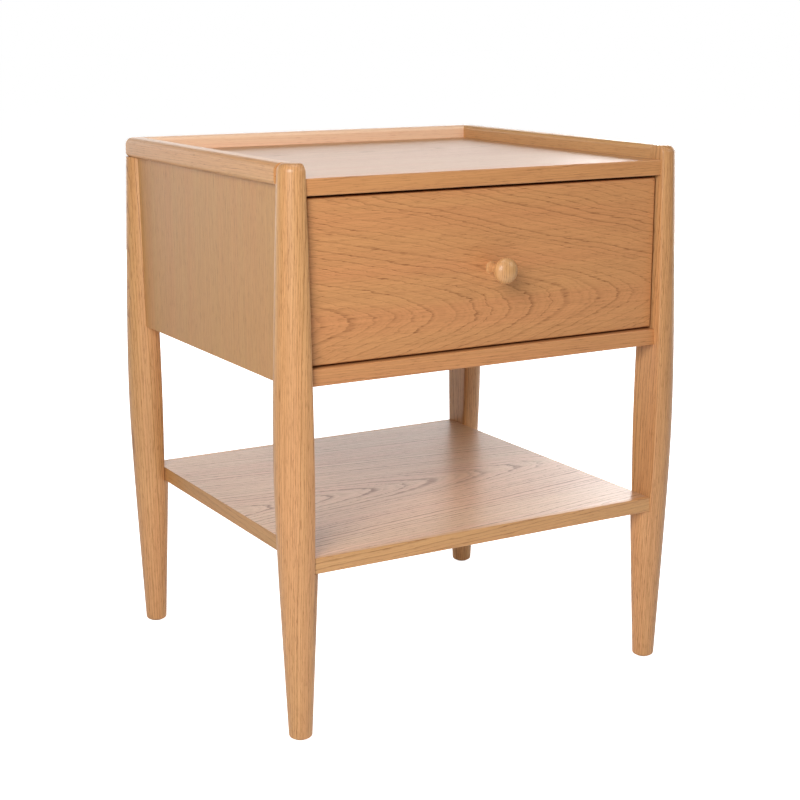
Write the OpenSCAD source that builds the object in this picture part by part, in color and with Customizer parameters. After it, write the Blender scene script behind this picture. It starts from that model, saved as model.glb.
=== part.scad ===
// Bedside cabinet in oak: one drawer, an open shelf, and a low gallery round the top.
// Millimetres. +Z is up and the front faces -Y. The origin is on the floor, under the middle of
// the whole cabinet with its knob.

/* [Overall] */
// Width over the legs where they are fullest
width = 502; // [440:1:640]
// Depth over the legs where they are fullest
depth = 449; // [400:1:560]
// Height from the floor to the top of the gallery
height = 600; // [500:1:740]

/* [Legs] */
// Radius of a leg at the floor
leg_foot_r = 12.3; // [10:0.1:15]
// Radius of a leg where it is fullest
leg_mid_r = 23.5; // [19.5:0.1:28.5]
// Radius of a leg at the top of the cabinet
leg_top_r = 15.4; // [14.5:0.1:19]
// Height at which a leg is fullest
leg_mid_z = 300; // [240:1:340]
// How gently a leg turns at its fullest point
leg_ease = 4; // [1:0.5:12]
// Rounding of a front leg's top edge
leg_dome_r = 8.5; // [4:0.1:10]
// Rounding of a leg's bottom edge
foot_edge_r = 3; // [1:0.1:4]
// How far a leg's inner flat stands inside the side panel at the top of the cabinet
flat_proud = 0.6; // [0.4:0.1:1.5]
// Distance from a leg's axis to its inner flat at the shelf
flat_shelf = 11.2; // [10:0.1:13]
// How far a nylon glide lies inside the flat of a foot
glide_in = 1.3; // [0.5:0.1:2.5]
// Height of a glide below the wood
glide_h = 1.5; // [1:0.1:3]

/* [Case] */
// Height of the case, from its underside to the gallery
case_h = 200; // [165:1:260]
// Thickness of the side panels, which stand on the legs' axis lines
panel_t = 16; // [13:0.5:19.5]
// Thickness of the case's bottom and its front rail
bottom_t = 18; // [15:0.5:22]
// Thickness of the top panel and its front lipping
top_t = 17; // [14:0.5:22]
// Thickness of the back panel
back_t = 9; // [6:0.5:10]
// How far the top lipping and the bottom rail stand in front of the front legs' axes
front_out = 12; // [10:0.5:14.5]
// How far the gallery stands above the top panel
gallery_up = 15; // [12:0.5:20]
// How far the gallery reaches down beside the top panel's edge
gallery_lap = 7; // [5:0.5:7.5]
// Rounding of the gallery's outer top edge
gallery_outer_r = 8.5; // [4:0.1:9]
// Rounding of the gallery's inner top edge and outer bottom edge
gallery_inner_r = 5; // [2:0.1:6]

/* [Shelf] */
// Height of the shelf's top face
shelf_z = 200; // [150:1:240]
// Thickness of the shelf
shelf_t = 17; // [15:0.5:22]
// How far the shelf stands in front of and behind the legs' axes
shelf_out = 16.5; // [13:0.5:20]
// Thickness of the shelf's front and back lippings
shelf_lip = 6; // [4:0.5:12]

/* [Drawer] */
// Thickness of the drawer front
front_t = 18; // [16:0.5:20]
// How far the drawer front lies behind the rails
front_recess = 5; // [2:0.5:6]
// Gap at each side of the drawer front
gap_side = 2; // [1:0.1:3]
// Gap above the drawer front
gap_top = 3; // [1.5:0.1:4]
// Gap under the drawer front
gap_bottom = 2.2; // [1:0.1:4]
// Thickness of the drawer box's sides, inner front and back
box_t = 12; // [12:0.5:14]
// Room between the drawer box and the back panel
box_behind = 28; // [20:1:60]
// Room between the drawer box and the case below
box_under = 14; // [10:0.5:20]
// Room between the drawer box and the top panel
box_over = 22; // [15:0.5:35]
// Thickness of the drawer's bottom
box_floor_t = 6; // [4:0.5:8]
// Height of the drawer's bottom above the box's lower edge
box_floor_up = 9; // [6:0.5:12]
// Radius of the knob's head
knob_head_r = 13.6; // [11:0.1:17]
// Thickness of the knob's head
knob_head_t = 19; // [14:0.5:22]
// Radius of the knob's stem at its waist
knob_stem_r = 5.2; // [4.5:0.1:7]
// How far the knob stands out of the drawer front
knob_out = 37; // [30:0.5:45]

/* [Runners] */
// Runners come in lengths that are whole steps of this
runner_step = 50; // [25:25:50]
// How much shorter than a runner the drawer's travel is
travel_short = 30; // [30:1:120]
// Height of a runner
runner_h = 35; // [29:0.5:45]
// Room that a runner fills between the case and the drawer box
runner_w = 12.7; // [10.5:0.1:15.5]
// Thickness of a runner's steel
steel_t = 1.1; // [1:0.05:1.2]
// Height of the runners' middle line above the case's bottom panel
runner_up = 52; // [40:1:70]

/* [Fixings] */
// Radius of the large dowels
dowel_r = 4; // [3:0.5:4.5]
// Radius of the small dowels
small_dowel_r = 3; // [2:0.5:3]
// Radius of a wood screw
screw_r = 1.75; // [1.5:0.05:2.25]
// Radius of a wood screw's countersunk head
screw_head_r = 3.4; // [3:0.1:3.6]
// Radius of the knob's screw
knob_screw_r = 2; // [1.5:0.1:2.5]
// Room all round a dowel or a screw in its hole
fit_gap = 0.05; // [0.02:0.01:0.1]
// Gap left for glue in a butt joint
glue_gap = 0.1; // [0.05:0.01:0.2]

/* [Hidden] */

// Turned and curved pieces
$fn = 64;
BALL_FN = 20;
// Room that a cutting body runs past the piece it cuts
PAST = 60;

// Oak on the frame, on the panels, inside the drawer, and the other materials
OAK_FRAME = [0.83, 0.64, 0.44];
OAK_PANEL = [0.76, 0.59, 0.41];
OAK_FRONT = [0.79, 0.57, 0.37];
OAK_SHELF = [0.80, 0.63, 0.47];
DRAWER_WOOD = [0.86, 0.76, 0.60];
STEEL = [0.70, 0.71, 0.72];
NYLON = [0.85, 0.84, 0.80];
BEECH = [0.84, 0.70, 0.52];

// The legs' axes, and the case's inner faces on each side of them
axis_x = width / 2 - leg_mid_r;
axis_y = depth / 2 - leg_mid_r;
case_in = panel_t / 2;
inner_x = axis_x - case_in;
inner_y = axis_y - case_in;
// Distance from a leg's axis to its inner flat at the top of the cabinet
flat_top = case_in + flat_proud;

// Heights
gallery_h = gallery_up + gallery_lap;
gallery_z = height - gallery_h;
case_z = gallery_z - case_h;
top_z = height - gallery_up;
under_top_z = top_z - top_t;
bottom_top_z = case_z + bottom_t;
shelf_under_z = shelf_z - shelf_t;

// A leg's radius at height z: two long tapers that meet in an easy curve
function taper_slope(end_r, span) = sqrt(pow(leg_mid_r - end_r + leg_ease, 2) - pow(leg_ease, 2)) / span;
function leg_r(z) =
    let (below = z < leg_mid_z)
    let (slope = below ? taper_slope(leg_foot_r, leg_mid_z)
                       : taper_slope(leg_top_r, height - leg_mid_z))
    leg_mid_r + leg_ease - sqrt(pow(leg_ease, 2) + pow(slope * (z - leg_mid_z), 2));
// Distance from a leg's axis to its inner flat at height z
function flat_at(z) = flat_shelf + (flat_top - flat_shelf) * (z - shelf_under_z) / (height - shelf_under_z);

gallery_out = leg_r(gallery_z);
front_y = -(axis_y + front_out);
rail_back_y = -inner_y;
drawer_face_y = front_y + front_recess;
drawer_back_y = drawer_face_y + front_t;

// The pieces are laid out about the middle of the legs, and at_origin moves them to the origin
origin_shift = (knob_out - drawer_face_y - depth / 2) / 2;

// Lengths between the legs' inner flats, at the lower edge of each piece
function between_legs(z) = 2 * (axis_x - flat_at(z) - glue_gap);

// The drawer front and the drawer box behind it
front_w = between_legs(bottom_top_z) - 2 * gap_side;
front_bottom_z = bottom_top_z + gap_bottom;
front_top_z = under_top_z - gap_top;
front_mid_z = (front_bottom_z + front_top_z) / 2;
front_edge_r = 1.2;
box_half_w = inner_x - runner_w;
box_z = bottom_top_z + box_under;
box_top_z = under_top_z - box_over;
box_end_y = inner_y - box_behind;
// How much lower the box's back is than its sides
box_back_drop = 6;
// The groove that the box's bottom runs in, and the bottom's room in it
groove_d = 6;
floor_gap = 0.15;
floor_z = box_z + box_floor_up;

// The runners: u is measured from the case's inner side towards the drawer
runner_start = 4;
runner_len = runner_step * floor((box_end_y - drawer_back_y - runner_start) / runner_step);
travel = runner_len - travel_short;
runner_z = bottom_top_z + runner_up;
runner_y = drawer_back_y + runner_start;
runner_end_y = runner_y + runner_len;
// Balls, and their room between the channels
ball_gap = 0.1;
outer_ball_r = 1.5;
inner_ball_r = 1.45;
balls_per_row = 9;
// Where the channels' flanges and the middle channel's web lie
drawer_flange_u = runner_w - 4.5;
case_flange_u = runner_w - 4.2;
middle_web_u = drawer_flange_u - 2.2;
middle_flange_u = runner_w - steel_t - 0.4;
middle_u = 3;
// Half of each channel's height: they nest, with a row of balls between
middle_half_h = runner_h / 2 - steel_t - 2 * (outer_ball_r + ball_gap);
drawer_half_h = middle_half_h - steel_t - 2 * (inner_ball_r + ball_gap);
// The ball cages stay inside both of their channels when the drawer is open
cage_t = 0.5;
cage_end = 20;
cage_len = runner_len - travel / 2 - 2 * cage_end;
cage_y = runner_y + (runner_len - cage_len) / 2;

// Dowels: how deep each end goes, and how far the outer ones lie from a panel's ends
dowel_end = 12;
dowel_in = 20;
edge_in = 2;
case_row_in = 32;
side_row_in = 77;
top_row_in = 48;
side_dowel_z = [for (i = [0:2]) case_z + case_row_in + i * (case_h / 2 - case_row_in)];
side_dowel_y = [for (i = [-1:1]) i * (inner_y - side_row_in)];
top_dowel_y = [for (i = [-3:2:3]) i * (inner_y - top_row_in) / 3];
rail_dowel_y = -(axis_y + 2);
bottom_mid_z = case_z + bottom_t / 2;
shelf_mid_z = shelf_z - shelf_t / 2;
top_dowel_z = (under_top_z + gallery_z) / 2;
lipping_dowel_z = under_top_z + top_t / 2;
gallery_dowel_z = gallery_z + gallery_h / 2;
// Dowels in the drawer box, which stop this far inside a side's outer face
box_skin = 3;
box_dowel_low = 34;
box_dowel_high = 24;
box_dowel_z = [box_z + box_dowel_low, box_top_z - box_dowel_high];

// Screws: their distances from the ends, and how deep they go
screw_deep = 20;
box_screw_deep = 12;
runner_screw_short = 2.6;
back_screw_in = 44;
front_screw_in = 30;
runner_screw_in = 24.5;
runner_screw_y = [for (i = [0:2]) runner_y + runner_screw_in + i * (runner_len / 2 - runner_screw_in)];
runner_screw_len = box_t + steel_t - runner_screw_short;
back_screw_x = [for (i = [-1:1]) i * (inner_x - back_screw_in)];
back_screw_len = back_t + screw_deep;
front_screw_x = box_half_w - box_t - dowel_in - front_screw_in;
box_screw_len = box_t + box_screw_deep;
knob_bore_depth = 16;

// ---------------------------------------------------------------- helpers

module at_origin() { translate([0, origin_shift, 0]) children(); }

// A pin along X, along Y or along Z that starts at a point
module pin_x(at, len, r) { translate(at) rotate([0, 90, 0]) cylinder(h = len, r = r); }
module pin_y(at, len, r) { translate(at) rotate([-90, 0, 0]) cylinder(h = len, r = r); }
module pin_z(at, len, r) { translate(at) cylinder(h = len, r = r); }

// A box between two corners
module block(low, high) { translate(low) cube(high - low); }

// A box with its four long edges along Z rounded
module rounded_slab(low, high, r) {
    size = high - low;
    translate(low) linear_extrude(height = size[2]) {
        translate([r, 0]) square([size[0] - 2 * r, size[1]]);
        translate([0, r]) square([size[0], size[1] - 2 * r]);
        for (x = [r, size[0] - r], y = [r, size[1] - r]) translate([x, y]) circle(r = r);
    }
}

// A countersunk wood screw along +Z, with its head's face at z = 0
module wood_screw(len, grow = 0) {
    head_h = screw_head_r - screw_r;
    cylinder(h = head_h, r1 = screw_head_r + grow, r2 = screw_r + grow);
    cylinder(h = len + grow, r = screw_r + grow);
}

// ---------------------------------------------------------------- legs

// Outline of a turned leg from the glide up to end_z, with its top edge rounded by dome
module leg_outline(end_z, dome) {
    steps = 26;
    arc_steps = 8;
    low = glide_h + foot_edge_r;
    high = end_z - dome;
    foot_x = leg_r(low) - foot_edge_r;
    top_x = leg_r(high) - dome;
    foot_arc = [for (i = [0:arc_steps])
        [foot_x + foot_edge_r * sin(i * 90 / arc_steps), low - foot_edge_r * cos(i * 90 / arc_steps)]];
    side = [for (i = [1:steps - 1]) let (z = low + (high - low) * i / steps) [leg_r(z), z]];
    top_arc = dome == 0 ? [[leg_r(high), high]] : [for (i = [0:arc_steps])
        [top_x + dome * cos(i * 90 / arc_steps), high + dome * sin(i * 90 / arc_steps)]];
    polygon(concat([[0, glide_h]], foot_arc, side, top_arc, [[0, end_z]]));
}

// A leg at the left (-X), cut for the case, the rails and the shelf.
// front is -1 for a front leg and 1 for a back leg.
module leg(front, end_z, dome) {
    cut_y = front * inner_y;
    difference() {
        translate([-axis_x, front * axis_y, 0]) rotate_extrude() leg_outline(end_z, dome);
        // the inner flat, from the shelf's underside to the top
        rotate([90, 0, 0]) translate([0, 0, -PAST - axis_y]) linear_extrude(height = 2 * (axis_y + PAST))
            polygon([[-axis_x + flat_at(shelf_under_z), shelf_under_z],
                     [-axis_x + flat_at(height + PAST), height + PAST],
                     [-axis_x + PAST, height + PAST],
                     [-axis_x + PAST, shelf_under_z]]);
        // the rebate that the side panel and the case stand in
        if (front < 0) {
            block([-axis_x - case_in, cut_y, case_z], [-axis_x + PAST, cut_y + PAST, height + PAST]);
            block([-axis_x - PAST, cut_y, gallery_z], [-axis_x + PAST, cut_y + PAST, height + PAST]);
        } else {
            block([-axis_x - case_in, cut_y - PAST, case_z], [-axis_x + PAST, cut_y, height + PAST]);
        }
        frame_dowel_set(fit_gap);
        gallery_dowel_set(fit_gap);
        case_dowel_set(fit_gap);
    }
}
module leg_front_left() { at_origin() color(OAK_FRAME) leg(-1, height, leg_dome_r); }
module leg_back_left() { at_origin() color(OAK_FRAME) leg(1, gallery_z, 0); }
module leg_front_right() { mirror([1, 0, 0]) leg_front_left(); }
module leg_back_right() { mirror([1, 0, 0]) leg_back_left(); }

// ---------------------------------------------------------------- gallery

// Section of a gallery rail: outwards is +x, up is +y, and the inner face is at x = 0
module gallery_section() {
    w = case_in + gallery_out;
    intersection() {
        square([w, gallery_h]);
        union() {
            square([w - gallery_outer_r, gallery_h - gallery_inner_r]);
            translate([gallery_inner_r, 0]) square([w - gallery_inner_r - gallery_outer_r, gallery_h]);
            translate([gallery_inner_r, gallery_h - gallery_inner_r]) circle(r = gallery_inner_r);
            translate([w - gallery_outer_r, gallery_h - gallery_outer_r]) circle(r = gallery_outer_r);
            translate([w - gallery_inner_r, gallery_inner_r]) circle(r = gallery_inner_r);
            translate([0, gallery_inner_r]) square([w, gallery_h - gallery_inner_r - gallery_outer_r]);
            square([w - gallery_inner_r, gallery_inner_r]);
        }
    }
}

// A straight rail along Y on the left side, from y0 to y1
module gallery_run(y0, y1) {
    translate([-inner_x, y0, gallery_z]) rotate([90, 0, 180])
        linear_extrude(height = y1 - y0) gallery_section();
}

// The two rails meet on the back leg in a turned quarter, cut through along the mitre
module gallery_corner() {
    w = case_in + gallery_out;
    translate([-axis_x, axis_y, gallery_z]) intersection() {
        rotate_extrude() translate([-case_in, 0]) intersection() {
            gallery_section();
            translate([case_in, 0]) square([w, gallery_h]);
        }
        block([-w, 0, 0], [0, w, gallery_h]);
    }
}

// The flat part of the corner, inside the turned quarter
module gallery_corner_flats() {
    gallery_run(axis_y - case_in, axis_y);
    back_run(-inner_x - case_in, -inner_x);
}
module back_run(x0, x1) {
    translate([x0, inner_y, gallery_z]) rotate([90, 0, 90])
        linear_extrude(height = x1 - x0) gallery_section();
}

// What lies on the left rail's side of the mitre
module mitre_side(gap) {
    far = 3 * (case_in + gallery_out);
    translate([-inner_x, inner_y, gallery_z - 1]) linear_extrude(height = gallery_h + 2)
        polygon([[0, -gap], [far, -gap], [far, -far], [-far, -far], [-far, far - gap]]);
}
module gallery_left() {
    at_origin() color(OAK_FRAME) difference() {
        union() {
            gallery_run(-inner_y + glue_gap, inner_y);
            intersection() {
                union() {
                    gallery_corner();
                    gallery_corner_flats();
                }
                mitre_side(glue_gap / 2);
            }
        }
        gallery_dowel_set(fit_gap);
    }
}
module gallery_right() { mirror([1, 0, 0]) gallery_left(); }
module gallery_back() {
    at_origin() color(OAK_FRAME) difference() {
        union() {
            back_run(-inner_x, inner_x);
            for (side = [0, 1]) mirror([side, 0, 0]) difference() {
                union() {
                    gallery_corner();
                    gallery_corner_flats();
                }
                mitre_side(-glue_gap / 2);
            }
        }
        gallery_dowel_set(fit_gap);
    }
}

// ---------------------------------------------------------------- case

module side_panel_left() {
    at_origin() color(OAK_PANEL) difference() {
        block([-axis_x - case_in, -inner_y + glue_gap, case_z + glue_gap],
              [-inner_x, inner_y - glue_gap, gallery_z - glue_gap]);
        case_dowel_set(fit_gap);
        gallery_dowel_set(fit_gap);
        runner_case_screw_set(fit_gap);
    }
}
module side_panel_right() { mirror([1, 0, 0]) side_panel_left(); }

module top_panel() {
    at_origin() color(OAK_SHELF) difference() {
        block([-inner_x + glue_gap, rail_back_y + glue_gap, under_top_z],
              [inner_x - glue_gap, inner_y - glue_gap, top_z]);
        case_dowel_set(fit_gap);
        back_screw_set(fit_gap);
    }
}
module top_lipping() {
    w = between_legs(under_top_z) / 2;
    at_origin() color(OAK_FRAME) difference() {
        rotate([90, 0, 90]) translate([0, 0, -w]) linear_extrude(height = 2 * w)
            eased_rail(rail_back_y - front_y, top_t, under_top_z);
        frame_dowel_set(fit_gap);
    }
}
module bottom_rail() {
    w = between_legs(case_z) / 2;
    at_origin() color(OAK_FRAME) difference() {
        rotate([90, 0, 90]) translate([0, 0, -w]) linear_extrude(height = 2 * w)
            eased_rail(rail_back_y - front_y, bottom_t, case_z);
        frame_dowel_set(fit_gap);
    }
}

// Section of a front rail in (y, z), with its two front edges eased
module eased_rail(d, h, z0) {
    ease = 1.6;
    translate([front_y, z0]) {
        translate([ease, 0]) square([d - ease, h]);
        translate([0, ease]) square([d, h - 2 * ease]);
        translate([ease, ease]) circle(r = ease);
        translate([ease, h - ease]) circle(r = ease);
    }
}
module case_bottom() {
    at_origin() color(OAK_PANEL) difference() {
        block([-inner_x + glue_gap, rail_back_y + glue_gap, case_z],
              [inner_x - glue_gap, inner_y - glue_gap, bottom_top_z]);
        case_dowel_set(fit_gap);
        back_screw_set(fit_gap);
    }
}
module back_panel() {
    w = between_legs(case_z) / 2;
    at_origin() color(OAK_PANEL) difference() {
        block([-w, inner_y, case_z], [w, inner_y + back_t, gallery_z - glue_gap]);
        back_screw_set(fit_gap);
    }
}

// ---------------------------------------------------------------- shelf

shelf_half_w = between_legs(shelf_under_z) / 2;
shelf_half_d = axis_y + shelf_out;
module shelf_panel() {
    edge_y = shelf_half_d - shelf_lip - glue_gap;
    at_origin() color(OAK_SHELF) difference() {
        block([-shelf_half_w, -edge_y, shelf_under_z + glue_gap], [shelf_half_w, edge_y, shelf_z]);
        frame_dowel_set(fit_gap);
    }
}
module shelf_lipping() {
    ease = 1.2;
    h = shelf_t - glue_gap;
    rotate([90, 0, 90]) translate([0, 0, -shelf_half_w])
        linear_extrude(height = 2 * shelf_half_w) translate([-shelf_half_d, shelf_under_z + glue_gap]) {
            translate([ease, 0]) square([shelf_lip - ease, h]);
            translate([0, ease]) square([shelf_lip, h - 2 * ease]);
            for (z = [ease, h - ease]) translate([ease, z]) circle(r = ease);
        }
}
module shelf_lipping_front() { at_origin() color(OAK_FRAME) shelf_lipping(); }
module shelf_lipping_back() { at_origin() color(OAK_FRAME) mirror([0, 1, 0]) shelf_lipping(); }

// ---------------------------------------------------------------- drawer

module drawer_front() {
    at_origin() color(OAK_FRONT) difference() {
        translate([0, drawer_face_y, 0]) rotate([-90, 0, 0])
            rounded_slab([-front_w / 2, -front_top_z, 0],
                         [front_w / 2, -front_bottom_z, front_t], front_edge_r);
        drawer_front_screw_set(fit_gap);
        knob_bolt(fit_gap);
    }
}
module drawer_side_left() {
    at_origin() color(DRAWER_WOOD) difference() {
        block([-box_half_w, drawer_back_y, box_z], [-box_half_w + box_t, box_end_y, box_top_z]);
        floor_groove();
        drawer_dowel_set(fit_gap);
        runner_drawer_screw_set(fit_gap);
    }
}
module drawer_side_right() { mirror([1, 0, 0]) drawer_side_left(); }
module drawer_inner_front() {
    w = box_half_w - box_t - glue_gap;
    at_origin() color(DRAWER_WOOD) difference() {
        block([-w, drawer_back_y, box_z], [w, drawer_back_y + box_t, box_top_z]);
        floor_groove();
        drawer_dowel_set(fit_gap);
        drawer_front_screw_set(fit_gap);
        knob_bolt(fit_gap);
    }
}
module drawer_back() {
    w = box_half_w - box_t - glue_gap;
    at_origin() color(DRAWER_WOOD) difference() {
        block([-w, box_end_y - box_t, box_z], [w, box_end_y, box_top_z - box_back_drop]);
        floor_groove();
        drawer_dowel_set(fit_gap);
    }
}
// The space that the bottom's edge runs in
module floor_groove() {
    w = box_half_w - box_t + groove_d;
    block([-w, drawer_back_y + box_t - groove_d, floor_z - floor_gap],
          [w, box_end_y - box_t + groove_d, floor_z + box_floor_t + floor_gap]);
}
module drawer_bottom() {
    w = box_half_w - box_t + groove_d - floor_gap;
    at_origin() color(DRAWER_WOOD)
        block([-w, drawer_back_y + box_t - groove_d + floor_gap, floor_z],
              [w, box_end_y - box_t + groove_d - floor_gap, floor_z + box_floor_t]);
}

// The knob is turned about an axis along -Y: a flared foot, a waist and a domed head
module knob_outline() {
    foot_r = knob_stem_r + 1.6;
    flare = 5;
    steps = 8;
    head_z = knob_out - knob_head_t / 2;
    head_start = asin(knob_stem_r / knob_head_r);
    foot = [for (i = [0:steps]) let (t = i / steps)
        [knob_stem_r + (foot_r - knob_stem_r) * pow(1 - t, 2), t * flare]];
    head = [for (i = [0:2 * steps]) let (a = head_start + (180 - head_start) * i / (2 * steps))
        [knob_head_r * sin(a), head_z - knob_head_t / 2 * cos(a)]];
    polygon(concat([[0, 0]], foot, head));
}
module knob() {
    at_origin() color(OAK_FRAME) difference() {
        translate([0, drawer_face_y, front_mid_z]) rotate([90, 0, 0]) rotate_extrude() knob_outline();
        knob_bolt(fit_gap);
    }
}
module knob_bolt(grow) {
    start_y = drawer_back_y + box_t;
    head_r = 2 * knob_screw_r;
    head_h = 1.4 * knob_screw_r;
    translate([0, start_y, front_mid_z]) rotate([90, 0, 0]) {
        cylinder(h = box_t + front_t + knob_bore_depth + grow, r = knob_screw_r + grow);
        if (grow == 0) translate([0, 0, -head_h]) cylinder(h = head_h, r = head_r);
    }
}
module knob_screw() { at_origin() color(STEEL) knob_bolt(0); }

// ---------------------------------------------------------------- runners

// A channel's section laid along Y on the left side: u runs to the drawer, from the case's inner face
module runner_block(u0, u1, z0, z1, y0, y1) {
    block([-inner_x + u0, y0, runner_z + z0], [-inner_x + u1, y1, runner_z + z1]);
}
module flange_pair(u0, u1, half_h, y0, y1) {
    runner_block(u0, u1, half_h - steel_t, half_h, y0, y1);
    runner_block(u0, u1, -half_h, -half_h + steel_t, y0, y1);
}
module runner_case_left() {
    h = runner_h / 2;
    at_origin() color(STEEL) difference() {
        union() {
            runner_block(0, steel_t, -h, h, runner_y, runner_end_y);
            flange_pair(0, case_flange_u, h, runner_y, runner_end_y);
        }
        runner_case_screw_set(fit_gap);
    }
}
module runner_middle_left() {
    h = middle_half_h;
    at_origin() color(STEEL) {
        runner_block(middle_web_u, middle_web_u + steel_t, -h, h, runner_y, runner_end_y);
        flange_pair(middle_u, middle_flange_u, h, runner_y, runner_end_y);
    }
}
module runner_drawer_left() {
    h = drawer_half_h;
    at_origin() color(STEEL) difference() {
        union() {
            runner_block(runner_w - steel_t, runner_w, -h, h, runner_y, runner_end_y);
            flange_pair(drawer_flange_u, runner_w, h, runner_y, runner_end_y);
        }
        runner_drawer_screw_set(fit_gap);
    }
}
// A cage is a folded strip that holds a row of balls above and a row below
module ball_cage(web_u, strip_u0, strip_u1, ball_z, ball_r) {
    at_origin() color(STEEL) {
        runner_block(web_u, web_u + cage_t, -ball_z, ball_z, cage_y, cage_y + cage_len);
        for (side = [-1, 1]) {
            runner_block(web_u, strip_u1, side * ball_z - cage_t / 2, side * ball_z + cage_t / 2,
                         cage_y, cage_y + cage_len);
            for (i = [0:balls_per_row - 1])
                translate([-inner_x + (strip_u0 + strip_u1) / 2,
                           cage_y + cage_len * (i + 0.5) / balls_per_row, runner_z + side * ball_z])
                    sphere(r = ball_r, $fn = BALL_FN);
        }
    }
}
module ball_cage_outer_left() {
    ball_cage(middle_u - 2 * cage_t, middle_u + cage_t, case_flange_u - cage_t,
              middle_half_h + outer_ball_r + ball_gap, outer_ball_r);
}
module ball_cage_inner_left() {
    ball_cage(drawer_flange_u - 1.4 * cage_t, drawer_flange_u + cage_t, middle_flange_u - cage_t,
              drawer_half_h + inner_ball_r + ball_gap, inner_ball_r);
}
module runner_case_right() { mirror([1, 0, 0]) runner_case_left(); }
module runner_middle_right() { mirror([1, 0, 0]) runner_middle_left(); }
module runner_drawer_right() { mirror([1, 0, 0]) runner_drawer_left(); }
module ball_cage_outer_right() { mirror([1, 0, 0]) ball_cage_outer_left(); }
module ball_cage_inner_right() { mirror([1, 0, 0]) ball_cage_inner_left(); }

// ---------------------------------------------------------------- fixings

// Both sides of the cabinet
module both_sides() {
    children();
    mirror([1, 0, 0]) children();
}

module runner_case_screw_set(grow) {
    both_sides() for (y = runner_screw_y)
        translate([-inner_x + steel_t, y, runner_z])
            rotate([0, -90, 0]) wood_screw(runner_screw_len, grow);
}
module runner_drawer_screw_set(grow) {
    both_sides() for (y = runner_screw_y)
        translate([-box_half_w - steel_t, y, runner_z])
            rotate([0, 90, 0]) wood_screw(runner_screw_len, grow);
}
module back_screw_set(grow) {
    for (x = back_screw_x, z = [bottom_mid_z, top_dowel_z])
        translate([x, inner_y + back_t, z]) rotate([90, 0, 0]) wood_screw(back_screw_len, grow);
}
module drawer_front_screw_set(grow) {
    both_sides() for (z = box_dowel_z)
        translate([-front_screw_x, drawer_back_y + box_t, z]) rotate([90, 0, 0])
            wood_screw(box_screw_len, grow);
}
module runner_case_screws() { at_origin() color(STEEL) runner_case_screw_set(0); }
module runner_drawer_screws() { at_origin() color(STEEL) runner_drawer_screw_set(0); }
module back_panel_screws() { at_origin() color(STEEL) back_screw_set(0); }
module drawer_front_screws() { at_origin() color(STEEL) drawer_front_screw_set(0); }

// Dowels between the legs and the front rails, and between the legs and the shelf
module frame_dowel_set(grow) {
    len = dowel_end + dowel_in + 2 * grow;
    both_sides() {
        for (z = [bottom_mid_z, lipping_dowel_z])
            pin_x([-axis_x + flat_at(z) - dowel_end - grow, rail_dowel_y, z], len, dowel_r + grow);
        for (y = [-axis_y, axis_y])
            pin_x([-axis_x + flat_at(shelf_mid_z) - dowel_end - grow, y, shelf_mid_z], len, dowel_r + grow);
    }
}
// Dowels between the side panels and the legs, the bottom and the top
module case_dowel_set(grow) {
    both_sides() {
        for (z = side_dowel_z, end = [-1, 1])
            pin_y([-axis_x, end < 0 ? -inner_y - dowel_end - grow : inner_y - dowel_in - grow, z],
                  dowel_end + dowel_in + 2 * grow, dowel_r + grow);
        for (y = side_dowel_y)
            pin_x([-inner_x - dowel_end + edge_in - grow, y, bottom_mid_z],
                  dowel_end + dowel_in - edge_in + 2 * grow, dowel_r + grow);
        for (y = top_dowel_y)
            pin_x([-inner_x - dowel_end + edge_in - grow, y, top_dowel_z],
                  dowel_end + dowel_in - edge_in + 2 * grow, small_dowel_r + grow);
    }
}
// Dowels between the gallery rails and the front legs, and down into the side panels
module gallery_dowel_set(grow) {
    both_sides() {
        pin_y([-axis_x, -inner_y - dowel_end / 2 - grow, gallery_dowel_z],
              dowel_end / 2 + dowel_in + 2 * grow, small_dowel_r + grow);
        for (y = side_dowel_y)
            pin_z([-axis_x, y + 2 * dowel_in / 3, gallery_z - dowel_end - grow],
                  2 * dowel_end + 2 * grow, small_dowel_r + grow);
    }
}
// Dowels at the corners of the drawer box
module drawer_dowel_set(grow) {
    side_depth = box_t - box_skin;
    both_sides() for (y = [drawer_back_y + box_t / 2, box_end_y - box_t / 2], z = box_dowel_z)
        pin_x([-box_half_w + box_t - side_depth - grow, y, z],
              side_depth + dowel_in + 2 * grow, small_dowel_r + grow);
}
module frame_dowels() { at_origin() color(BEECH) frame_dowel_set(0); }
module case_dowels() { at_origin() color(BEECH) case_dowel_set(0); }
module gallery_dowels() { at_origin() color(BEECH) gallery_dowel_set(0); }
module drawer_dowels() { at_origin() color(BEECH) drawer_dowel_set(0); }

module foot_glides() {
    at_origin() color(NYLON) for (x = [-axis_x, axis_x], y = [-axis_y, axis_y])
        pin_z([x, y, 0], glide_h, leg_foot_r - foot_edge_r - glide_in);
}

leg_front_left();
leg_front_right();
leg_back_left();
leg_back_right();
gallery_left();
gallery_right();
gallery_back();
top_panel();
top_lipping();
side_panel_left();
side_panel_right();
back_panel();
case_bottom();
bottom_rail();
shelf_panel();
shelf_lipping_front();
shelf_lipping_back();
drawer_front();
drawer_side_left();
drawer_side_right();
drawer_inner_front();
drawer_back();
drawer_bottom();
knob();
knob_screw();
runner_case_left();
runner_case_right();
runner_middle_left();
runner_middle_right();
runner_drawer_left();
runner_drawer_right();
ball_cage_outer_left();
ball_cage_outer_right();
ball_cage_inner_left();
ball_cage_inner_right();
runner_case_screws();
runner_drawer_screws();
back_panel_screws();
drawer_front_screws();
frame_dowels();
case_dowels();
gallery_dowels();
drawer_dowels();
foot_glides();
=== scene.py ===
"""Looks of an oak bedside cabinet: its timber, its turned and eased pieces, its steel and its stage."""

import math

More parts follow.
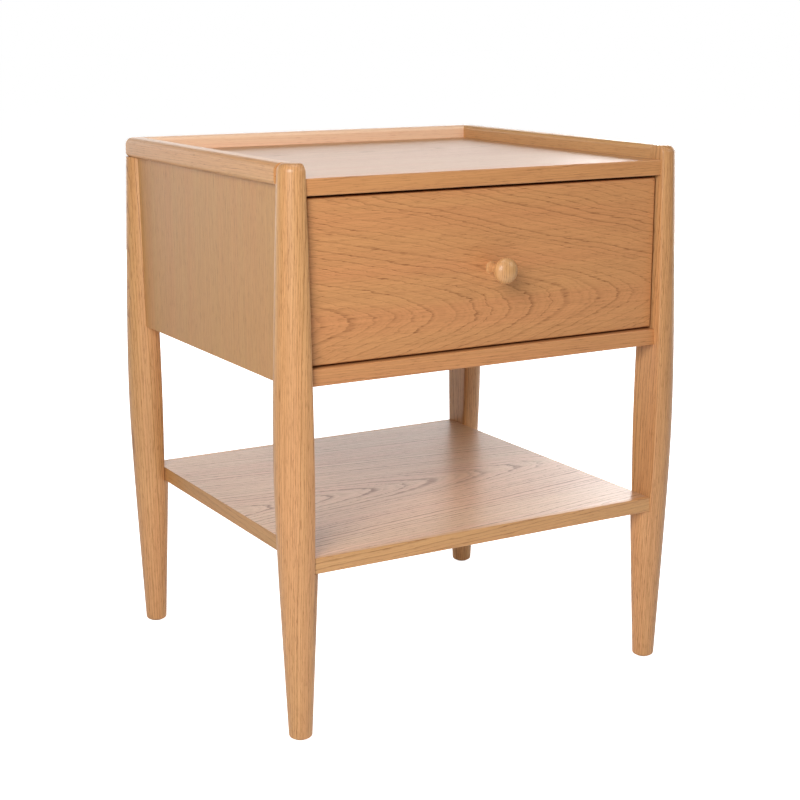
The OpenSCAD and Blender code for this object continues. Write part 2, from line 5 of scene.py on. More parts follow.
import bpy
from bpy.props import FloatProperty, FloatVectorProperty, PointerProperty
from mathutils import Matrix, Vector


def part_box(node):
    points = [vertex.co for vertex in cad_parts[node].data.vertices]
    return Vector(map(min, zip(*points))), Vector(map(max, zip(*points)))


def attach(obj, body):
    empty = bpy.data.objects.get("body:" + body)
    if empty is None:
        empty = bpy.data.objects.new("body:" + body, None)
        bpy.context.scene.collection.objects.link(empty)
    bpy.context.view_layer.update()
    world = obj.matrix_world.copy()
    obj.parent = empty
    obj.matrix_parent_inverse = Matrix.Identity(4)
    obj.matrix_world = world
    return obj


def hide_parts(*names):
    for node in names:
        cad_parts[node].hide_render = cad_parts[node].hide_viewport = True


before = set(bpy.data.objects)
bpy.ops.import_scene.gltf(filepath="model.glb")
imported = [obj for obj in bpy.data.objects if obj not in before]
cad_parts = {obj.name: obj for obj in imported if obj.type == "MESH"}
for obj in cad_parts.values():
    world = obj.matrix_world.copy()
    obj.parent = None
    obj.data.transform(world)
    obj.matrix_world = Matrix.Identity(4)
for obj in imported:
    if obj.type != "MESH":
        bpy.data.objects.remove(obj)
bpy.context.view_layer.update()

bl_info = {
    "name": "Oak bedside cabinet",
    "version": (1, 0, 0),
    "blender": (4, 5, 0),
    "location": "View3D > Sidebar > Cabinet",
    "description": "Models and finishes an oak bedside cabinet round its packed frame",
    "category": "Object",
}

MM = 0.001
# the room left in a glued joint, and how near is the same place
JOINT = 0.1 * MM
NEAR = 0.01 * MM


# ---------------------------------------------------------------- sizes and colours


def length(name, description, size):
    """A property for a size in metres."""
    return FloatProperty(name=name, description=description, default=size, min=0, unit="LENGTH")


def watts(name, description, power):
    """A property for the power of a light."""
    return FloatProperty(name=name, description=description, default=power, min=0, unit="POWER")


def tone(name, description, colour):
    """A colour property."""
    return FloatVectorProperty(
        name=name, description=description, default=colour, subtype="COLOR", size=3, min=0, max=1
    )


class CabinetLegs(bpy.types.PropertyGroup):
    """Shape of the turned legs"""

    foot_r: length("Foot radius", "Radius of a leg at the floor", 12.3 * MM)
    mid_r: length("Full radius", "Radius of a leg where it is fullest", 23.5 * MM)
    top_r: length("Top radius", "Radius of a leg at the top", 15.4 * MM)
    mid_z: length("Fullest height", "Height at which a leg is fullest", 0.3)
    ease: length("Ease", "How gently the two tapers meet", 4 * MM)
    dome_r: length("Dome", "Rounding of a front leg's top edge", 8.5 * MM)
    foot_edge: length("Foot edge", "Rounding of a leg's bottom edge", 3 * MM)
    flat_top: length("Flat at the top", "From a leg's axis to its inner flat at the top", 8.6 * MM)
    flat_shelf: length("Flat at the shelf", "From a leg's axis to its inner flat at the shelf", 11.2 * MM)
    arris: length("Arris", "Rounding where the flat meets the turned side", 1.4 * MM)


class CabinetEdges(bpy.types.PropertyGroup):
    """Edges and sections of the other pieces"""

    board: length("Board edge", "Easing of a board's edges in a joint", 0.35 * MM)
    rail: length("Rail edge", "Easing of the front rails' front edges", 1.6 * MM)
    lipping: length("Lipping edge", "Easing of the shelf lippings' outer edges", 1.2 * MM)
    front: length("Drawer front edge", "Easing of the drawer front's edges", 1.6 * MM)
    drawer_side: length("Drawer side edge", "Easing of the drawer sides' edges", 1 * MM)
    gallery_outer: length("Gallery outer edge", "Rounding of the gallery's outer top edge", 8.5 * MM)
    gallery_inner: length("Gallery inner edge", "Rounding of its inner top and outer bottom edges", 5 * MM)
    knob_head_r: length("Knob radius", "Radius of the knob's head", 13.6 * MM)
    knob_head_t: length("Knob thickness", "Thickness of the knob's head", 19 * MM)
    knob_stem_r: length("Knob stem", "Radius of the knob's stem at its waist", 5.2 * MM)
    knob_foot_r: length("Knob foot", "Radius of the knob's stem at the drawer front", 6.8 * MM)


class CabinetTimber(bpy.types.PropertyGroup):
    """Colours of the timber and the metal"""

    frame_pale: tone("Frame, pale", "Late wood of the legs and rails", (0.638, 0.345, 0.152))
    frame_line: tone("Frame, line", "Early wood of the legs and rails", (0.320, 0.134, 0.042))
    # the back rail's paler tones are a painted sheen: they paint in the bright light that the back rail
    # catches
    sap_pale: tone("Sapwood, pale", "Late wood of the back rail", (0.930, 0.640, 0.460))
    sap_line: tone("Sapwood, line", "Early wood of the back rail", (0.700, 0.400, 0.240))
    panel_pale: tone("Panel, pale", "Late wood of the side panels", (0.530, 0.275, 0.102))
    panel_line: tone("Panel, line", "Early wood of the side panels", (0.300, 0.136, 0.043))
    front_pale: tone("Drawer front, pale", "Late wood of the drawer front", (0.615, 0.290, 0.118))
    front_line: tone("Drawer front, line", "Early wood of the drawer front", (0.285, 0.108, 0.034))
    top_pale: tone("Top, pale", "Late wood of the top", (0.550, 0.280, 0.125))
    top_line: tone("Top, line", "Early wood of the top", (0.300, 0.135, 0.055))
    shelf_pale: tone("Shelf, pale", "Late wood of the shelf", (0.660, 0.410, 0.245))
    shelf_line: tone("Shelf, line", "Early wood of the shelf", (0.270, 0.125, 0.058))
    box_pale: tone("Drawer box, pale", "Late wood of the drawer box", (0.70, 0.52, 0.33))
    box_line: tone("Drawer box, line", "Early wood of the drawer box", (0.55, 0.37, 0.21))
    steel: tone("Steel", "Runners and screws", (0.62, 0.63, 0.65))
    nylon: tone("Nylon", "Glides under the feet", (0.70, 0.67, 0.60))


class CabinetStage(bpy.types.PropertyGroup):
    """Floor, lights and camera"""

    floor: tone("Floor", "Colour of the floor", (0.92, 0.92, 0.92))
    key: watts("Key light", "The soft light at the left", 32.4)
    front: watts("Front light", "The weak light at the right", 6.2)
    above: watts("Light above", "The soft light overhead", 12.7)
    back: watts("Back wall", "The lit wall behind", 63)
    back_left: watts("Left wall", "The lit wall behind at the left", 16)
    side: watts("Right wall", "The lit wall at the right", 67)
    glow: FloatProperty(
        name="Floor glow", description="How strongly the lit floor lights the object", default=0.08, min=0
    )
    lens: FloatProperty(name="Lens", description="Focal length in millimetres", default=72.6)
    eye: FloatVectorProperty(
        name="Camera place", description="Where the camera stands", default=(-0.9285, -1.5999, 0.7342),
        subtype="TRANSLATION", unit="LENGTH", size=3,
    )
    azimuth: FloatProperty(
        name="Camera azimuth", description="How far the camera is turned to the right",
        default=math.radians(30.253), subtype="ANGLE",
    )
    pitch: FloatProperty(
        name="Camera pitch", description="How far the camera looks down", default=math.radians(13.251),
        subtype="ANGLE",
    )


# ---------------------------------------------------------------- modelling


def clear_selection():
    """Leaves nothing selected, in object mode."""
    if bpy.context.mode != "OBJECT":
        bpy.ops.object.mode_set(mode="OBJECT")
    bpy.ops.object.select_all(action="DESELECT")


def only(piece):
    """Selects one piece and makes it active."""
    clear_selection()
    piece.select_set(True)
    bpy.context.view_layer.objects.active = piece


def at_rest(piece):
    """Puts a piece's place into its mesh, so that its object sits at the origin."""
    only(piece)
    bpy.ops.object.transform_apply(location=True, rotation=True, scale=True)


def pick(piece, kind, test):
    """Enters edit mode with the vertices, edges or faces that pass a test of their points selected."""
    only(piece)
    mesh = piece.data
    for group in (mesh.vertices, mesh.edges, mesh.polygons):
        group.foreach_set("select", [False] * len(group))
    points = mesh.vertices
    if kind == "VERT":
        for v in points:
            v.select = test(v.co)
    elif kind == "EDGE":
        for e in mesh.edges:
            e.select = test(points[e.vertices[0]].co, points[e.vertices[1]].co)
    else:
        for f in mesh.polygons:
            f.select = test(f.center, f.normal)
    # the mode comes first, or the selection is lost on the way in
    bpy.context.tool_settings.mesh_select_mode = [kind == mode for mode in ("VERT", "EDGE", "FACE")]
    bpy.ops.object.mode_set(mode="EDIT")


def pick_all(piece):
    """Enters edit mode with everything selected."""
    only(piece)
    bpy.context.tool_settings.mesh_select_mode = (True, False, False)
    bpy.ops.object.mode_set(mode="EDIT")
    bpy.ops.mesh.select_all(action="SELECT")


def outwards(piece):
    """Merges doubled points and turns every face outwards."""
    pick_all(piece)
    bpy.ops.mesh.remove_doubles(threshold=NEAR)
    bpy.ops.mesh.normals_make_consistent(inside=False)
    clear_selection()


def apply_modifier(piece, kind, **settings):
    """Adds a modifier with its settings and applies it."""
    only(piece)
    modifier = piece.modifiers.new(kind.title(), kind)
    for name, value in settings.items():
        setattr(modifier, name, value)
    bpy.ops.object.modifier_apply(modifier=modifier.name)


def shade(piece, angle=38):
    """Smooth shading that keeps flat faces flat."""
    only(piece)
    bpy.ops.object.shade_smooth_by_angle(angle=math.radians(angle))
    apply_modifier(piece, "WEIGHTED_NORMAL", keep_sharp=True)


def label(piece, node):
    """Names a new piece after the CAD node that it stands in for."""
    piece.name = piece.data.name = node + "_made"


def block(name, low, high):
    """A plain cube stretched between two corners, the start of a board or a cutter."""
    low, high = Vector(low), Vector(high)
    clear_selection()
    bpy.ops.mesh.primitive_cube_add(size=1, location=(low + high) / 2, scale=high - low)
    piece = bpy.context.object
    label(piece, name)
    at_rest(piece)
    return piece


def ease(piece, width, test, segments=3):
    """Bevels the edges that pass a test of their two ends."""
    pick(piece, "EDGE", test)
    bpy.ops.mesh.bevel(
        offset=width, offset_type="OFFSET", segments=segments, affect="EDGES", clamp_overlap=True
    )
    clear_selection()


def every_edge(a, b):
    """The test that all edges pass."""
    return True


def level_edges(y):
    """A test that only level edges at one place along Y pass."""
    return lambda a, b: max(abs(a.y - y), abs(b.y - y), abs(a.z - b.z)) < NEAR


def board(name, low, high, edge):
    """A board with all its edges eased alike."""
    piece = block(name, low, high)
    ease(piece, edge, every_edge)
    shade(piece)
    return piece


def cut(piece, *tools):
    """Cuts the tools out of a piece and removes them."""
    for tool in tools:
        apply_modifier(piece, "BOOLEAN", operation="DIFFERENCE", solver="EXACT", object=tool)
        bpy.data.objects.remove(tool)


def turned(name, rings, foot, along, points=64):
    """A piece turned on a lathe: rings holds (distance along the axis, radius), from first face to last."""
    foot, along = Vector(foot), Vector(along)
    clear_selection()
    distance, radius = rings[0]
    bpy.ops.mesh.primitive_circle_add(
        vertices=points, radius=radius, fill_type="NGON", location=foot + along * distance,
        rotation=Vector((0, 0, 1)).rotation_difference(along).to_euler(),
    )
    piece = bpy.context.object
    label(piece, name)
    at_rest(piece)
    pick_all(piece)
    across = Vector([1 - abs(a) for a in along])
    for next_distance, next_radius in rings[1:]:
        bpy.ops.mesh.extrude_region_move(
            TRANSFORM_OT_translate={"value": along * (next_distance - distance)}
        )
        grow = next_radius / radius
        bpy.ops.transform.resize(
            value=Vector([grow if a > 0.5 else 1 for a in across]),
            center_override=foot + along * next_distance,
        )
        distance, radius = next_distance, next_radius
    outwards(piece)
    return piece


def arc(steps, start, end):
    """Angles in radians from start to end, in degrees, in equal steps."""
    return [math.radians(start + (end - start) * i / steps) for i in range(steps + 1)]


def twin(piece, name):
    """A copy on the right of a piece on the left, with its own mesh."""
    only(piece)
    bpy.ops.object.duplicate()
    copy = bpy.context.object
    label(copy, name)
    pick_all(copy)
    bpy.ops.transform.resize(value=(-1, 1, 1), center_override=(0, 0, 0))
    bpy.ops.mesh.normals_make_consistent(inside=False)
    shade(copy)
    return copy


def joined(parts, name):
    """Several parts as one piece."""
    clear_selection()
    for part in parts:
        part.select_set(True)
    bpy.context.view_layer.objects.active = parts[0]
    bpy.ops.object.join()
    piece = bpy.context.object
    label(piece, name)
    return piece


def finish_piece(piece, node, body, material):
    """Gives a new piece its body and its material, and hides the CAD node that it stands in for."""
    piece.data.materials.clear()
    piece.data.materials.append(material)
    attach(piece, body)
    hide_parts(node)


# ---------------------------------------------------------------- shader maths


class Value:
    """A socket in a material. Arithmetic on it adds Math nodes."""

    def __init__(self, graph, socket):
        self.graph, self.socket = graph, socket

    def math(self, operation, *others, clamp=False):
        """A Math node on this value and the others."""
        sockets = dict(enumerate((self, *others)))
        node = self.graph.add("ShaderNodeMath", {"operation": operation, "use_clamp": clamp}, sockets)
        return Value(self.graph, node.outputs[0])

    def __add__(self, other):
        return self.math("ADD", other)

    __radd__ = __add__

    def __mul__(self, other):
        return self.math("MULTIPLY", other)

    __rmul__ = __mul__

    def __sub__(self, other):
        return self.math("SUBTRACT", other)

    def __rsub__(self, other):
        return Value.math(self.graph.number(other), "SUBTRACT", self)

    def __truediv__(self, other):
        return self.math("DIVIDE", other)

    def __pow__(self, other):
        return self.math("POWER", other)


class Number:
    """A plain number at the left of a subtraction."""

    def __init__(self, graph, value):
        self.graph, self.socket = graph, value


class Graph:
    """A material's nodes."""

    def __init__(self, name):
        self.material = bpy.data.materials.new(name)
        self.material.use_nodes = True
        self.tree = self.material.node_tree
        self.shader = self.tree.nodes["Principled BSDF"]

    def number(self, value):
        """A number in the place of a value."""
        return Number(self, value)

    def put(self, socket, value):
        """Links a value to a socket, or sets the socket to a plain value."""
        source = value.socket if isinstance(value, (Value, Number)) else value
        if isinstance(source, bpy.types.NodeSocket):
            self.tree.links.new(source, socket)
        else:
            socket.default_value = source

    def add(self, kind, settings=None, sockets=None):
        """Any node: its settings are set first, then the values or links of its sockets."""
        node = self.tree.nodes.new(kind)
        for name, value in (settings or {}).items():
            setattr(node, name, value)
        for name, value in (sockets or {}).items():
            self.put(node.inputs[name], value)
        return node

    def value(self, node, output=0):
        """A node's output, by number or name, as a Value."""
        return Value(self, node.outputs[output])

    def axes(self):
        """The three object coordinates, in metres."""
        place = self.add("ShaderNodeTexCoord").outputs["Object"]
        parts = self.add("ShaderNodeSeparateXYZ", {}, {0: place})
        return {axis: self.value(parts, i) for i, axis in enumerate("XYZ")}

    def vector(self, x, y, z):
        """Three values as a vector."""
        return self.value(self.add("ShaderNodeCombineXYZ", {}, {0: x, 1: y, 2: z}))

    def noise(self, vector, detail=2.0, roughness=0.5):
        """Noise about zero, from -1 to 1, one feature per unit of the vector."""
        sockets = {"Vector": vector, "Scale": 1.0, "Detail": detail, "Roughness": roughness}
        node = self.add("ShaderNodeTexNoise", {}, sockets)
        return (self.value(node, "Fac") - 0.5) * 2.0

    def ramp(self, value, low, high, start=0.0, end=1.0):
        """A smooth step from start to end as the value goes from low to high."""
        node = self.add(
            "ShaderNodeMapRange", {"interpolation_type": "SMOOTHSTEP", "clamp": True},
            {"Value": value, "From Min": low, "From Max": high, "To Min": start, "To Max": end},
        )
        return self.value(node)

    def blend(self, share, low, high):
        """Two colours mixed by a share."""
        node = self.add("ShaderNodeMix", {"data_type": "RGBA"}, {"Factor": share})
        self.put(node.inputs[6], (*low, 1) if isinstance(low, (tuple, list)) else low)
        self.put(node.inputs[7], (*high, 1) if isinstance(high, (tuple, list)) else high)
        return self.value(node, 2)

    def surface(self, colour, roughness, height=None, depth=0.0, **constants):
        """Feeds the shader: what varies goes to colour, roughness and bump, the rest is constant."""
        self.put(self.shader.inputs["Base Color"], colour)
        self.put(self.shader.inputs["Roughness"], roughness)
        if height is not None:
            bump = self.add("ShaderNodeBump", {}, {"Strength": 1.0, "Distance": depth, "Height": height})
            self.put(self.shader.inputs["Normal"], self.value(bump))
        for name, value in constants.items():
            self.shader.inputs[name.replace("_", " ")].default_value = value
        return self.material


# ---------------------------------------------------------------- finishes


def oak(name, tones, grain, start, pith, taper=0.0, ring=3.2 * MM, wander=5 * MM, contrast=1.0,
        gloss=0.36, streaks=1.0):
    """Sawn oak in a pale and a line colour. grain names the axes along, across and into the board, which
    count from start. pith is how far the tree's middle lies behind the face, taper how fast the trunk
    narrows, ring a year's growth, and wander how far the rings stray."""
    pale, line = tones
    g = Graph(name)
    axes = g.axes()
    along, across, deep = [axes[axis] - place for axis, place in zip(grain, start)]

    def figure(lengthwise, crosswise, detail=2.0, roughness=0.5):
        """Noise with so many features a metre along and across the grain."""
        place = g.vector(along * lengthwise, across * crosswise, deep * crosswise)
        return g.noise(place, detail, roughness)

    # the rings stray slowly, ripple and have ragged edges
    side = across + figure(3.6, 11.0, 3.0) * wander
    depth = deep + pith
    radius = (side * side + depth * depth) ** 0.5 + along * taper
    radius = radius + figure(16.0, 62.0) * (0.36 * ring) + figure(75.0, 430.0, 2.0, 0.6) * (0.24 * ring)
    count = radius / ring
    # no two years are as wide as each other
    uneven = g.noise(g.vector(count * 0.43, 0.5, 0.5), 2.0)
    years = count + uneven * 1.6
    phase = years.math("FRACT")
    # each year starts with a line of open early wood and fades into late wood
    early = g.ramp(phase, 0.03, 0.34, 1.0, 0.0) * g.ramp(phase, 0.0, 0.04)
    fine = g.ramp((years * 3.0).math("FRACT"), 0.0, 0.6, 1.0, 0.0)
    # some years are darker than others
    year = g.ramp(g.noise(g.vector(count * 0.9, 7.5, 0.5), 1.0), -0.35, 0.35, 0.4, 1.0)
    rings = early * year + fine * 0.3
    fibre = figure(13.0, 520.0, 3.0, 0.66)
    # pores crowd into the early wood
    pore = g.ramp(figure(75.0, 850.0, 2.0, 0.6), 0.05, 0.45) * (rings * 0.6 + 0.4)
    band = figure(1.7, 38.0)
    share = rings * (0.5 * contrast) + fibre * (0.3 * streaks) + pore * (0.6 * streaks) + band * 0.12
    # broad bands lean a little to red or to green
    warm = tuple(c * k for c, k in zip(pale, (1.03, 0.96, 0.92)))
    cool = tuple(c * k for c, k in zip(pale, (0.97, 0.985, 0.91)))
    face = g.blend(g.ramp(band, -0.45, 0.45), cool, warm)
    colour = g.blend(share.math("ADD", 0.1, clamp=True), face, line)
    rough = share * 0.12 + gloss
    height = 0.0 - pore - rings * 0.2 + fibre * 0.15
    return g.surface(colour, rough, height, 0.05 * MM, Coat_Weight=0.08, Coat_Roughness=0.28, IOR=1.46)


def plated_steel(colour):
    """Zinc-plated steel with faint drawing lines along the runners."""
    g = Graph("zinc_plated_steel")
    axes = g.axes()
    lines = g.noise(g.vector(axes["X"] * 2500.0, axes["Y"] * 25.0, axes["Z"] * 2500.0), 2.0)
    cloud = g.noise(g.vector(axes["X"] * 60.0, axes["Y"] * 60.0, axes["Z"] * 60.0), 3.0)
    dark = tuple(0.72 * c for c in colour)
    face = g.blend(cloud * 0.35 + 0.4, colour, dark)
    return g.surface(face, lines * 0.06 + 0.34, lines, 0.01 * MM, Metallic=1.0)


def moulded_nylon(colour):
    """Off-white nylon with a fine moulded grain."""
    g = Graph("moulded_nylon")
    axes = g.axes()
    grain = g.noise(g.vector(axes["X"] * 1500.0, axes["Y"] * 1500.0, axes["Z"] * 1500.0), 2.0)
    dark = tuple(0.8 * c for c in colour)
    return g.surface(g.blend(grain * 0.2 + 0.3, colour, dark), grain * 0.05 + 0.5, grain, 0.02 * MM)


def colours(group, name):
    """The pale and the line colour of a timber, as plain tuples."""
    return tuple(getattr(group, name + "_pale")), tuple(getattr(group, name + "_line"))


def middle(node):
    """The middle of a CAD node's box."""
    low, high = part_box(node)
    return (low + high) / 2


def grain_start(place, order, shift):
    """A place in the order of the grain's axes, moved across the tree by a shift."""
    along, across, deep = (getattr(place, axis.lower()) for axis in order)
    return along, across + shift, deep


# ---------------------------------------------------------------- operators


class CABINET_OT_legs(bpy.types.Operator):
    """Turn the four legs, flatten their inner sides and cut the rebates for the case"""

    bl_idname = "cabinet.legs"
    bl_label = "Legs"

    def execute(self, context):
        legs = context.scene.cabinet_legs
        low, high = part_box("leg_front_left")
        back_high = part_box("leg_back_left")[1]
        axis_x = low.x + legs.mid_r
        axis_y = {"front": low.y + legs.mid_r, "back": back_high.y - legs.mid_r}
        glide_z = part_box("foot_glides")[1].z
        shoulder_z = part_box("shelf_panel")[0].z - JOINT
        panel_low, panel_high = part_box("side_panel_left")
        total = high.z

        def radius(z):
            """Two long tapers that meet in an easy curve at the fullest height."""
            below = z < legs.mid_z
            end = legs.foot_r if below else legs.top_r
            span = legs.mid_z if below else total - legs.mid_z
            slope = math.sqrt((legs.mid_r - end + legs.ease) ** 2 - legs.ease**2) / span
            return legs.mid_r + legs.ease - math.hypot(legs.ease, slope * (z - legs.mid_z))

        def flat(z):
            """From the axis to the inner flat at height z."""
            share = (z - shoulder_z) / (total - shoulder_z)
            return legs.flat_shelf + (legs.flat_top - legs.flat_shelf) * share

        def outline(top, dome):
            """Rings of a leg from its glide to its top."""
            start, end = glide_z + legs.foot_edge, top - dome
            foot_x, top_x = radius(start) - legs.foot_edge, radius(end) - dome
            rings = [
                (start - legs.foot_edge * math.cos(a), foot_x + legs.foot_edge * math.sin(a))
                for a in arc(6, 0, 90)
            ]
            # two rings close together make the shoulder that the shelf rests on
            steps, ledge = 60, 0.02 * MM
            heights = [start + (end - start) * i / steps for i in range(1, steps + 1)]
            heights = [z for z in heights if abs(z - shoulder_z) > 2 * MM]
            heights += [shoulder_z - ledge, shoulder_z + ledge]
            rings += [(z, radius(z)) for z in sorted(heights)]
            if dome:
                rings += [
                    (end + dome * math.sin(a), top_x + dome * math.cos(a))
                    for a in arc(10, 0, 90)[1:]
                ]
            return rings

        def flatten(piece, y):
            """Draws the turned side in to the inner flat, from the shoulder up, with a rounded arris."""
            for v in piece.data.vertices:
                if v.co.z < shoulder_z:
                    continue
                x, side = v.co.x - axis_x, v.co.y - y
                r = math.hypot(x, side)
                if x <= 0 or r < 1 * MM:
                    continue
                # how far the point stands past the flat, eased to nothing over the arris
                past = r - flat(v.co.z) * r / x
                pull = (past + math.hypot(past, legs.arris)) / 2
                keep = (r - pull) / r
                v.co.x, v.co.y = axis_x + x * keep, y + side * keep

        # cutters end well outside the leg
        far = 0.06
        far_x, far_z = axis_x + far, total + far
        for place, top, dome in (("front", total, legs.dome_r), ("back", panel_high.z + JOINT, 0)):
            y = axis_y[place]
            left, right = "leg_" + place + "_left", "leg_" + place + "_right"
            piece = turned(left, outline(top, dome), (axis_x, y, 0), (0, 0, 1), 192)
            flatten(piece, y)
            if place == "front":
                edge = panel_low.y - JOINT
                low_y, high_y = edge, edge + far
            else:
                edge = panel_high.y + JOINT
                low_y, high_y = edge - far, edge
            # the case sits in a rebate, and the gallery's end in a notch in a front leg's top
            cutters = [block("rebate", (panel_low.x, low_y, panel_low.z), (far_x, high_y, far_z))]
            if place == "front":
                cutters.append(block("notch", (axis_x - far, low_y, panel_high.z), (far_x, high_y, far_z)))
            cut(piece, *cutters)
            shade(piece, 50)
            self.finish(context, piece, left, axis_x, y)
            self.finish(context, twin(piece, right), right, -axis_x, y)
        return {"FINISHED"}

    def finish(self, context, piece, node, x, y):
        """Each leg is sawn from its own place in the tree."""
        order, shift = {
            "leg_front_left": ("ZXY", 0.11),
            "leg_front_right": ("ZXY", 0.13),
            "leg_back_left": ("ZYX", 0.0),
            "leg_back_right": ("ZYX", 0.05),
        }[node]
        start = grain_start(Vector((x, y, context.scene.cabinet_legs.mid_z)), order, shift)
        timber = oak(
            "oak_" + node, colours(context.scene.cabinet_timber, "frame"), order, start, pith=0.09,
            taper=0.03, ring=2.7 * MM, wander=4 * MM, contrast=1.5, streaks=1.7,
        )
        finish_piece(piece, node, "cabinet", timber)


class CABINET_OT_gallery(bpy.types.Operator):
    """Run the gallery rails, round them over the back legs and mitre them"""

    bl_idname = "cabinet.gallery"
    bl_label = "Gallery"

    def execute(self, context):
        edges = context.scene.cabinet_edges
        legs = context.scene.cabinet_legs
        axis_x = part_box("leg_front_left")[0].x + legs.mid_r
        axis_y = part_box("leg_back_left")[1].y - legs.mid_r
        low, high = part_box("gallery_left")
        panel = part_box("side_panel_left")[1]
        inner_x, inner_y = panel.x, panel.y + JOINT

        def section(name, inner, outer, axis):
            """The rail's section as one upright face between two bottom corners."""
            width = (outer - inner).length
            clear_selection()
            bpy.ops.mesh.primitive_plane_add(
                size=1, location=(inner + outer) / 2 + Vector((0, 0, (high.z - low.z) / 2)),
                rotation=(math.pi / 2, 0, 0 if axis == "Y" else math.pi / 2),
            )
            piece = bpy.context.object
            label(piece, name)
            piece.scale = (width, high.z - low.z, 1)
            at_rest(piece)
            return piece

        def round_corner(piece, point, r):
            """Rounds one corner of a flat section."""
            pick(piece, "VERT", lambda co: (co - point).length < NEAR)
            bpy.ops.mesh.bevel(offset=r, offset_type="OFFSET", segments=8, affect="VERTICES")
            clear_selection()

        def rail(name, start, axis):
            """A rail from its start up to the mitre on the left back leg."""
            if axis == "Y":
                inner, outer = Vector((inner_x, start, low.z)), Vector((low.x, start, low.z))
                run, turn, stop = Vector((0, 1, 0)), 45, axis_y - start
            else:
                outer_y = axis_y + (axis_x - low.x)
                inner, outer = Vector((start, inner_y, low.z)), Vector((start, outer_y, low.z))
                run, turn, stop = Vector((-1, 0, 0)), -45, start - axis_x
            rise = Vector((0, 0, high.z - low.z))
            piece = section(name, inner, outer, axis)
            round_corner(piece, inner + rise, edges.gallery_inner)
            round_corner(piece, outer, edges.gallery_inner)
            round_corner(piece, outer + rise, edges.gallery_outer)
            # a seam over the leg's axis, so that only the outer part turns the corner
            across = Vector((1, 0, 0)) if axis == "Y" else Vector((0, 1, 0))
            pick_all(piece)
            bpy.ops.mesh.bisect(plane_co=(axis_x, axis_y, 0), plane_no=across)
            bpy.ops.mesh.select_all(action="SELECT")
            bpy.ops.mesh.extrude_region_move(TRANSFORM_OT_translate={"value": run * stop})
            clear_selection()
            end = Vector((axis_x, axis_y, 0))

            def outer_end(centre, normal):
                """The end face of the part outside the leg's axis."""
                at_end = abs((centre - end).dot(run)) < NEAR
                beyond = centre.x < axis_x if axis == "Y" else centre.y > axis_y
                return at_end and beyond and abs(normal.dot(run)) > 0.9

            pick(piece, "FACE", outer_end)
            # a hair short of the mitre, so that the two rails don't touch
            bpy.ops.mesh.spin(
                steps=8, angle=math.radians(turn * 0.995), center=(axis_x, axis_y, 0), axis=(0, 0, 1),
                dupli=False,
            )
            outwards(piece)
            # the inner part is cut off along the mitre
            pick_all(piece)
            gap = 0.06 * MM
            keep = Vector((1, 1, 0)).normalized() * (1 if axis == "Y" else -1)
            bpy.ops.mesh.bisect(
                plane_co=end + keep * gap, plane_no=keep, use_fill=True, clear_outer=True
            )
            outwards(piece)
            return piece

        left = rail("gallery_left", low.y, "Y")
        shade(left, 40)
        right = twin(left, "gallery_right")
        back = rail("gallery_back", 0.0, "X")
        pick(back, "FACE", lambda centre, normal: abs(centre.x) < NEAR)
        bpy.ops.mesh.delete(type="FACE")
        clear_selection()
        apply_modifier(
            back, "MIRROR", use_axis=(True, False, False), use_clip=True, merge_threshold=2 * NEAR
        )
        outwards(back)
        shade(back, 40)
        rails = {
            "gallery_left": (left, "YZX", 0.09),
            "gallery_right": (right, "YZX", 0.13),
            "gallery_back": (back, "XZY", 0.11),
        }
        for node, (piece, order, shift) in rails.items():
            # the back rail takes the paler tones that paint its sheen
            tones = colours(context.scene.cabinet_timber, "sap" if node == "gallery_back" else "frame")
            timber = oak(
                "oak_" + node, tones, order, grain_start(middle(node), order, -shift), pith=0.05,
                taper=0.012, ring=2.6 * MM, wander=2 * MM, contrast=0.8, streaks=1.2,
            )
            finish_piece(piece, node, "cabinet", timber)
        return {"FINISHED"}


class CABINET_OT_case(bpy.types.Operator):
    """Make the side panels, the top, the bottom, the back and the two front rails"""

    bl_idname = "cabinet.case"
    bl_label = "Case"

    def execute(self, context):
        edges = context.scene.cabinet_edges
        timber = context.scene.cabinet_timber
        panel = colours(timber, "panel")
        solid = colours(timber, "front")
        wide = colours(timber, "top")
        for name, shift in (("side_panel_left", 0.9), ("side_panel_right", -0.8), ("back_panel", 0.7)):
            order = "ZXY" if name == "back_panel" else "ZYX"
            finish = oak(
                "oak_" + name, panel, order, grain_start(middle(name), order, shift), pith=0.16,
                taper=0.05, ring=5 * MM, wander=5 * MM, contrast=0.15, gloss=0.44, streaks=1.7,
            )
            finish_piece(board(name, *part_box(name), edges.board), name, "cabinet", finish)
        for name, tones, shift, slot in (
            ("top_panel", wide, 0.05, "oak_shelf"),
            ("case_bottom", panel, -0.04, "oak_panel"),
        ):
            finish = oak(
                "oak_" + name, tones, "XYZ", grain_start(middle(name), "XYZ", shift), pith=0.03,
                taper=0.08, ring=5 * MM, wander=8 * MM, contrast=0.8,
            )
            finish_piece(board(name, *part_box(name), edges.board), name, "cabinet", finish)
        for name, shift in (("top_lipping", 0.03), ("bottom_rail", -0.06)):
            low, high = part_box(name)
            piece = block(name, low, high)
            ease(piece, edges.rail, level_edges(low.y), 4)
            shade(piece)
            finish = oak(
                "oak_" + name, solid, "XZY", grain_start(middle(name), "XZY", shift), pith=0.03,
                taper=0.02, ring=2.6 * MM, wander=2 * MM, contrast=0.7, streaks=1.2,
            )
            finish_piece(piece, name, "cabinet", finish)
        return {"FINISHED"}


